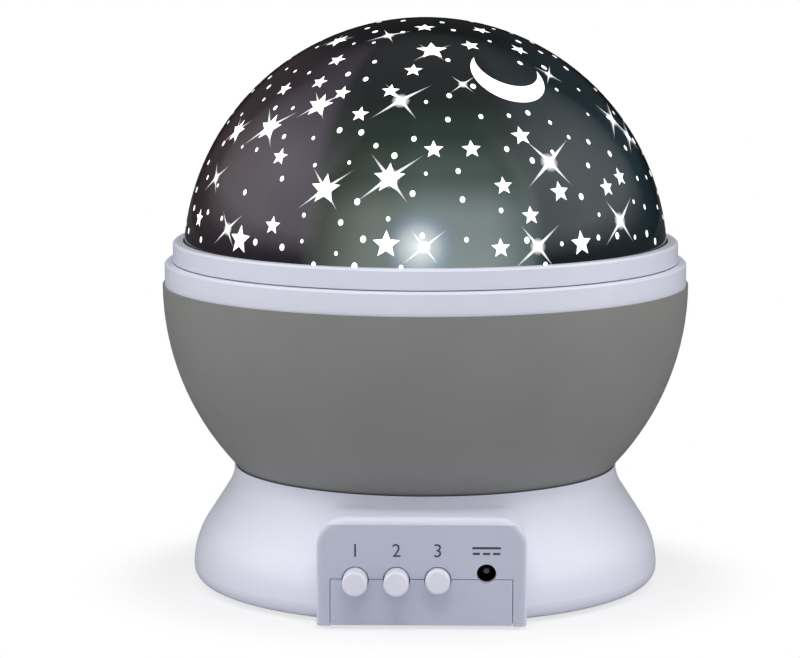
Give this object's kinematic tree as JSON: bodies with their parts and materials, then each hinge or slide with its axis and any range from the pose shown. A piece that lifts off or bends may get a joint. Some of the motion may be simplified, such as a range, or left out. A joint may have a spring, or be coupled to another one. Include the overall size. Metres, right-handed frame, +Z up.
{
  "type": "star night light projector",
  "caption": "Night light with a round dome pierced by star windows, turning on a ball over a flared base with three push buttons.",
  "frame": {"origin": "middle of the base on the plane that its feet stand on", "axes": "+Z up, the control panel faces -Y, +X to the right seen from the front"},
  "size_m": [0.1252, 0.1252, 0.135],
  "materials": {
    "white_shell": "satin",
    "rubber": "matte",
    "steel": "brushed",
    "cell": "satin",
    "board": "matte",
    "black_plastic": "matte",
    "white_acetal": "matte",
    "grey_bowl": "satin",
    "dome_black": "gloss",
    "star_clear": "gloss",
    "led_clear": "gloss",
    "button_white": "satin"
  },
  "bodies": {
    "base": {"base_shell": "white_shell", "bottom_plate": "white_shell", "rubber_feet": "rubber", "base_screws": "steel", "battery_cells": "cell", "battery_contacts": "steel", "control_board": "board", "push_switches": "black_plastic", "control_chip": "black_plastic", "dc_jack": "black_plastic", "dc_jack_pin": "steel", "gear_case": "white_acetal", "motor_can": "steel", "motor_screws": "steel", "spindle": "white_acetal", "spindle_clip": "steel", "thrust_washer": "white_acetal", "lamp_head": "white_acetal", "led_board": "board", "star_led": "led_clear", "colour_leds": "led_clear"},
    "ball": {"bowl": "grey_bowl", "ball_bush": "white_acetal", "ring_gear": "white_acetal", "gear_screws": "steel", "inner_deck": "white_acetal", "bezel_ring": "white_shell"},
    "drive": {"motor_shaft": "steel", "drive_pinion": "white_acetal"},
    "dome_cover": {"dome_collar": "white_shell", "star_dome": "dome_black", "star_panes": "star_clear"},
    "first_button": {"button_1": "button_white", "plunger_1": "black_plastic"},
    "second_button": {"button_2": "button_white", "plunger_2": "black_plastic"},
    "third_button": {"button_3": "button_white", "plunger_3": "black_plastic"},
    "battery_lid": {"battery_door": "white_shell", "door_screw": "steel"}
  },
  "joints": [
    {"name": "ball_spin", "type": "hinge", "parent": "base", "child": "ball", "pos_m": [0, 0, 0.024], "axis": [0, 0, 1], "continuous": true},
    {"name": "pinion_spin", "type": "hinge", "parent": "base", "child": "drive", "pos_m": [0, 0.0288, 0.021], "axis": [0, 0, 1], "continuous": true},
    {"name": "dome_twist", "type": "hinge", "parent": "ball", "child": "dome_cover", "pos_m": [0, 0, 0.0774], "axis": [0, 0, 1], "range_deg": [0, 25]},
    {"name": "first_button_press", "type": "slide", "parent": "base", "child": "first_button", "axis": [0, 1, 0], "range_m": [0, 0.0024], "stiffness_N_per_m": 250, "springref_m": -0.002},
    {"name": "second_button_press", "type": "slide", "parent": "base", "child": "second_button", "axis": [0, 1, 0], "range_m": [0, 0.0024], "stiffness_N_per_m": 250, "springref_m": -0.002},
    {"name": "third_button_press", "type": "slide", "parent": "base", "child": "third_button", "axis": [0, 1, 0], "range_m": [-0.0024, 0.0004]},
    {"name": "battery_lid_hinge", "type": "hinge", "parent": "base", "child": "battery_lid", "pos_m": [0, 0.0154, 0.0017], "axis": [1, 0, 0], "range_deg": [0, 100]}
  ],
  "couplings": [
    {"joint": "pinion_spin", "follows": "ball_spin", "ratio": -5}
  ]
}
